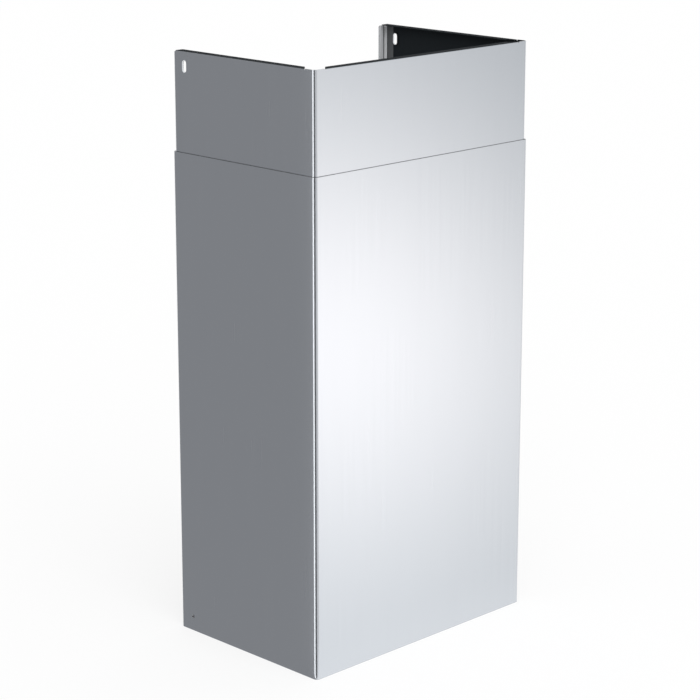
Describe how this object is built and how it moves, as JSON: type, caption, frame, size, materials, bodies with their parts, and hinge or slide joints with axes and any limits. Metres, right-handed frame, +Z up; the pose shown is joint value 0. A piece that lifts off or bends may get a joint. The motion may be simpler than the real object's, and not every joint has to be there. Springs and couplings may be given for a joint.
{
  "type": "cooker hood chimney section",
  "caption": "Telescopic chimney cover for a wall cooker hood: a stainless channel, open at the back, with a narrower channel sliding up out of it to the ceiling.",
  "frame": {"origin": "middle of the lower section's footprint, on the hood that it stands on", "axes": "+Z up along the chimney, +Y back towards the wall, +X to the right seen from the front"},
  "size_m": [0.33, 0.222, 0.66],
  "materials": {
    "lower_sheet": "satin brushed outside, dark inside",
    "upper_sheet": "satin brushed outside, dark inside"
  },
  "bodies": {
    "lower": {"lower_section": "lower_sheet"},
    "upper": {"upper_section": "upper_sheet"}
  },
  "joints": [
    {"name": "upper_slide", "type": "slide", "parent": "lower", "child": "upper", "axis": [0, 0, 1], "range_m": [-0.11, 0.35]}
  ]
}
